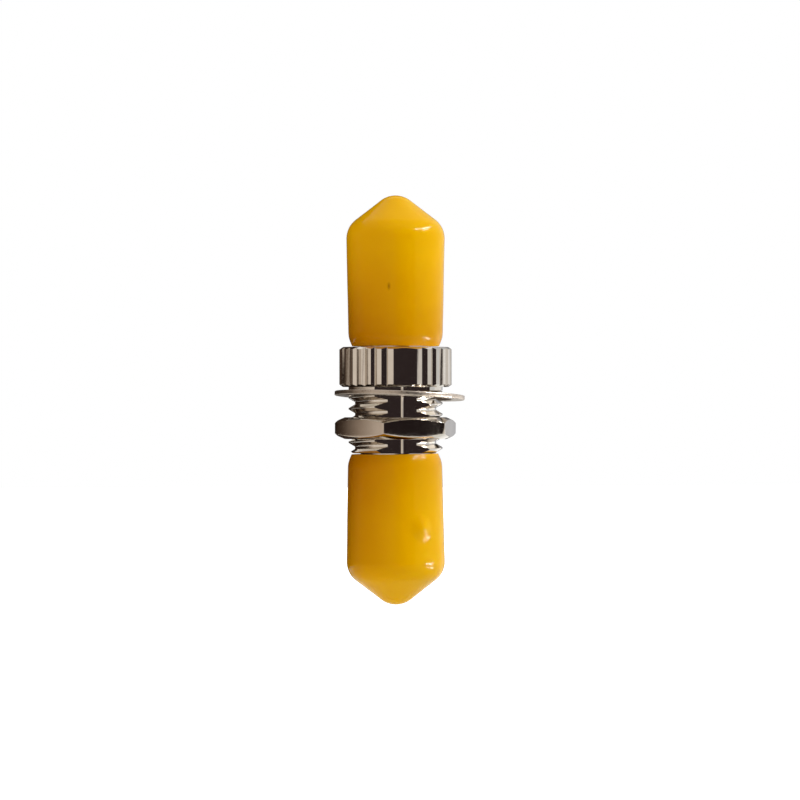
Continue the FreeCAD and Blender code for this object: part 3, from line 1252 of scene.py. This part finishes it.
@dataclass(frozen=True)
class Lamp:
    """A soft box that faces the object."""

    name: str
    beam: Beam
    # Degrees to the right of the camera and above the level, and metres from the object
    azimuth: float
    elevation: float
    distance: float
    # Width and height in metres, and power in watts
    size: Pair
    power: float
    colour: str = WHITE


# The room: bright cloth, with a dark gap in front, a little to the right, and one at the back on the left
SCREEN = Card(
    "screen", Beam.BOTH, radius=0.32, low=-0.07, high=0.28,
    grading=(
        (-212, "#DCDDE2"), (-198, "#CFD1D6"), (-184, "#3A2E26"), (-128, "#3A2E26"), (-112, "#8C7B6C"),
        (-96, "#D6CABD"), (-74, "#DDD2C6"), (-60, "#EAE0D6"), (-5, "#EAE0D6"), (0, "#9C928B"),
        (14, "#362D2E"), (44, "#241D1E"), (47, "#E8E4E0"), (84, "#E2E1E0"), (112, "#E6ECF4"),
    ),
)
# Darkens the left of the thread, the washer and the nut
FLAG = Card(
    "flag", Beam.GLINTS, radius=0.02, low=-0.0072, high=-0.0002,
    grading=((-140, "#2A1F18"), (-82, "#2E231C"), (-78, "#4C3F36"), (-70.5, "#A49487"), (-60, "#E1D4C8")),
)
# Gives the left of the knurl its dark and light stripes
COLLAR_FLAG = Card(
    "collar_flag", Beam.GLINTS, radius=0.02, low=0.0001, high=0.0043,
    grading=(
        (-105, "#2E231C"), (-95, "#4C3F36"), (-86, "#6A5C50"), (-78, "#2E231C"), (-73, "#2E231C"),
        (-70.5, "#C8BBAE"), (-63, "#C8BBAE"), (-58, "#85776B"), (-52, "#85776B"), (-49.5, "#E5DBD0"),
    ),
)
# Keeps the nut's lower bevel from showing the bright floor
BACK_FLAG = Card(
    "back_flag", Beam.GLINTS, radius=0.02, low=-0.024, high=-0.006,
    grading=((-178, "#3A2E26"), (-140, "#3A2E26")),
)
# Takes light off the caps' left and warms what is left of it
SHADE = Card(
    "shade", Beam.LIGHTS, radius=0.013, low=-0.022, high=0.009,
    grading=((-150, "#421A03"), (-72, "#421A03"), (-50, "#B4916C"), (-8, "#E0CDB8")),
)

# One lamp gives the light, and four panes the strokes in the caps' gloss
LAMPS = (
    Lamp("softbox", Beam.LIGHTS, 80, 36, 0.3, size=(0.16, 0.06), power=0.42, colour="#F0FFF8"),
    Lamp("upper_pane", Beam.GLINTS, 79, 38, 0.3, size=(0.24, 0.016), power=1.2),
    Lamp("upper_low_pane", Beam.GLINTS, 84, 31, 0.3, size=(0.1, 0.01), power=0.25),
    Lamp("lower_pane", Beam.GLINTS, 86, -17, 0.09, size=(0.035, 0.011), power=0.06),
    Lamp("lower_low_pane", Beam.GLINTS, 90, -28, 0.09, size=(0.035, 0.009), power=0.045),
)


@dataclass
class Studio:
    """White floor and surround, graded cards, soft light from the right and the photograph's camera."""

    azimuth: float = -10.0
    target: Point = (0.443 * MM, -0.078 * MM, -1.318 * MM)
    distance: float = 0.4506
    lens: float = 200.0
    nearest: float = 0.01
    fill: float = 0.7
    floor_height: float = -0.07
    floor_width: float = 6.0
    floor_colour: str = "#F4F4F4"
    floor_roughness: float = 0.9
    # The floor's own glow near the object, and the distances over which it rises to white
    floor_glow: float = 0.25
    floor_fade: Pair = (0.1, 0.3)
    # Where every card is open, in degrees to the right of the camera, so that its grading may end there
    seam: float = 130.0
    card_steps: int = 48

    def around(self, azimuth: float, elevation: float, distance: float) -> Vector:
        """Give a place round the object.

        Args:
            azimuth: Degrees to the right of the camera.
            elevation: Degrees above the level.
            distance: Metres from the target.

        Returns:
            The place.
        """
        turn = math.radians(self.azimuth + azimuth)
        rise = math.radians(elevation)
        level = Vector((math.sin(turn), -math.cos(turn), 0)) * math.cos(rise)
        return Vector(self.target) + distance * (level + Vector((0, 0, math.sin(rise))))

    def facing(self, place: Vector) -> Euler:
        """Give the turn that points a camera or a lamp at the target."""
        return (Vector(self.target) - place).to_track_quat("-Z", "Y").to_euler()

    def camera(self) -> None:
        """Set up the camera."""
        data = bpy.data.cameras.new("camera")
        data.lens = self.lens
        data.clip_start = self.nearest
        camera = bpy.data.objects.new("camera", data)
        bpy.context.scene.collection.objects.link(camera)
        camera.location = self.around(0, 0, self.distance)
        camera.rotation_euler = self.facing(camera.location)
        bpy.context.scene.camera = camera

    def looked_at(self, tree: NodeTree) -> NodeSocket:
        """Add the test for what the eye sees directly, in metal or through glass.

        Args:
            tree: The node tree that gets it.

        Returns:
            An output that is 1 for such a ray and 0 otherwise.
        """
        path = add_node(tree, "ShaderNodeLightPath")
        seen = path.outputs["Is Camera Ray"]
        for other in (path.outputs["Is Glossy Ray"], path.outputs["Is Transmission Ray"]):
            seen = add_node(tree, "ShaderNodeMath", {0: seen, 1: other}, {"operation": "MAXIMUM"}).outputs[0]
        return seen

    def world(self) -> None:
        """Make a surround that is white to the eye and in reflections, and a soft fill otherwise."""
        world = bpy.data.worlds.new("white_surround")
        world.use_nodes = True
        tree = world.node_tree
        add = partial(add_node, tree)
        background = tree.nodes["Background"]
        strength = add(
            "ShaderNodeMapRange", {"Value": self.looked_at(tree), "To Min": self.fill, "To Max": 1.0}
        )
        tree.links.new(strength.outputs["Result"], background.inputs["Strength"])
        background.inputs["Color"].default_value = linear(WHITE)
        bpy.context.scene.world = world

    def floor(self) -> None:
        """Lay the pale floor, which fades into the white surround away from the object's shadow."""
        select_only()
        bpy.ops.mesh.primitive_plane_add(size=self.floor_width, location=(0, 0, self.floor_height))
        floor = bpy.context.object
        floor.name = "floor"
        material, shader, place = start_material("white_paper_floor")
        tree = material.node_tree
        add = partial(add_node, tree)
        near = add("ShaderNodeVectorMath", {0: place}, {"operation": "LENGTH"})
        glow = add(
            "ShaderNodeMapRange",
            {
                "Value": near.outputs["Value"],
                "From Min": self.floor_fade[0],
                "From Max": self.floor_fade[1],
                "To Min": self.floor_glow,
                "To Max": 1.0,
            },
        )
        shown = add(
            "ShaderNodeMath",
            {0: glow.outputs["Result"], 1: self.looked_at(tree)},
            {"operation": "MULTIPLY"},
        )
        tree.links.new(shown.outputs[0], shader.inputs["Emission Strength"])
        shader.inputs["Emission Color"].default_value = linear(WHITE)
        shader.inputs["Base Color"].default_value = linear(self.floor_colour)
        shader.inputs["Roughness"].default_value = self.floor_roughness
        floor.data.materials.append(material)

    def stand(self, card: Card) -> None:
        """Stand a card round the object.

        Args:
            card: Where it stands and how it is coloured.
        """
        first, last = card.grading[0][0], card.grading[-1][0]
        turns = [first + (last - first) * n / self.card_steps for n in range(self.card_steps + 1)]
        drop = Vector((0, 0, card.low - self.target[2]))
        cloth = draw_chain([self.around(turn, 0, card.radius) + drop for turn in turns])
        cloth.name = card.name
        with editing(cloth):
            bpy.ops.mesh.extrude_region_move(TRANSFORM_OT_translate={"value": (0, 0, card.high - card.low)})
        material, shader, place = start_material(f"{card.name}_cloth")
        tree = material.node_tree
        add = partial(add_node, tree)
        tree.nodes.remove(shader)
        # The gradient starts and ends on its -X side, which is turned to the seam
        seam_heading = self.azimuth + self.seam - 90
        turned = add(
            "ShaderNodeMapping",
            {"Vector": place, "Rotation": (0, 0, math.radians(180 - seam_heading))},
        )
        angle = add(
            "ShaderNodeTexGradient", {"Vector": turned.outputs["Vector"]}, {"gradient_type": "RADIAL"}
        )
        grading = add("ShaderNodeValToRGB", {"Fac": angle.outputs["Fac"]})
        ramp = grading.color_ramp
        while len(ramp.elements) < len(card.grading):
            ramp.elements.new(1.0)
        for element, (turn, colour) in zip(ramp.elements, card.grading):
            element.position = (turn - self.seam + 360) / 360
            element.color = linear(colour)
        glow = add("ShaderNodeEmission", {"Color": grading.outputs["Color"]})
        # Its faces point outwards, and from there the cloth isn't seen, so it keeps its colour off the floor
        sides = add(
            "ShaderNodeMixShader",
            {
                0: add("ShaderNodeNewGeometry").outputs["Backfacing"],
                1: add("ShaderNodeBsdfTransparent").outputs["BSDF"],
                2: glow.outputs["Emission"],
            },
        )
        tree.links.new(sides.outputs["Shader"], tree.nodes["Material Output"].inputs["Surface"])
        cloth.data.materials.append(material)
        card.beam.send(cloth)
        cloth.visible_camera = False
        cloth.visible_shadow = False

    def hang(self, lamp: Lamp) -> None:
        """Hang a lamp so that it faces the object.

        Args:
            lamp: Where it hangs, and its light.
        """
        data = bpy.data.lights.new(lamp.name, "AREA")
        data.shape = "RECTANGLE"
        data.size, data.size_y = lamp.size
        data.energy = lamp.power
        data.color = linear(lamp.colour)[:3]
        box = bpy.data.objects.new(lamp.name, data)
        bpy.context.scene.collection.objects.link(box)
        box.location = self.around(lamp.azimuth, lamp.elevation, lamp.distance)
        box.rotation_euler = self.facing(box.location)
        lamp.beam.send(box)

    def build(self) -> None:
        """Set up the whole studio."""
        self.camera()
        self.world()
        self.floor()
        for card in (SCREEN, FLAG, COLLAR_FLAG, BACK_FLAG, SHADE):
            self.stand(card)
        for lamp in LAMPS:
            self.hang(lamp)
        bpy.context.scene.view_settings.view_transform = "Standard"


def main() -> None:
    """Load the frame, build every piece on it, dress the CAD nodes that show and set up the studio."""
    logging.basicConfig(level=logging.INFO, format="%(message)s")
    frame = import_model()
    thread = Thread()
    Casting(thread, CAST_PLATE).build()
    JamNut(thread, DRAWN_PLATE).build()
    PanelWasher(PRESSED_PLATE).build()
    vinyl = DippedVinyl().material()
    upper_seat = Seat("upper_cap", "upper_dust_cap", "yellow_vinyl")
    lower_seat = Seat("lower_cap", "lower_dust_cap", "yellow_vinyl")
    DustCap(
        upper_seat, vinyl, rim=4.11, points_down=False, lug_heading=-55.0, lug_push=0.03, lean=0.0
    ).build()
    DustCap(
        lower_seat, vinyl, rim=-6.76, points_down=True, lug_heading=67.0, lug_push=0.36, lean=0.5
    ).build()
    for node, finish in (("alignment_sleeve", SinteredZirconia()), ("sleeve_retainer", TURNED_PLATE)):
        obj = frame["nodes"][node]
        obj.data.materials.clear()
        obj.data.materials.append(finish.material())
        LOG.info("%s: CAD node dressed", node)
    Studio().build()


if __name__ == "__main__":
    main()
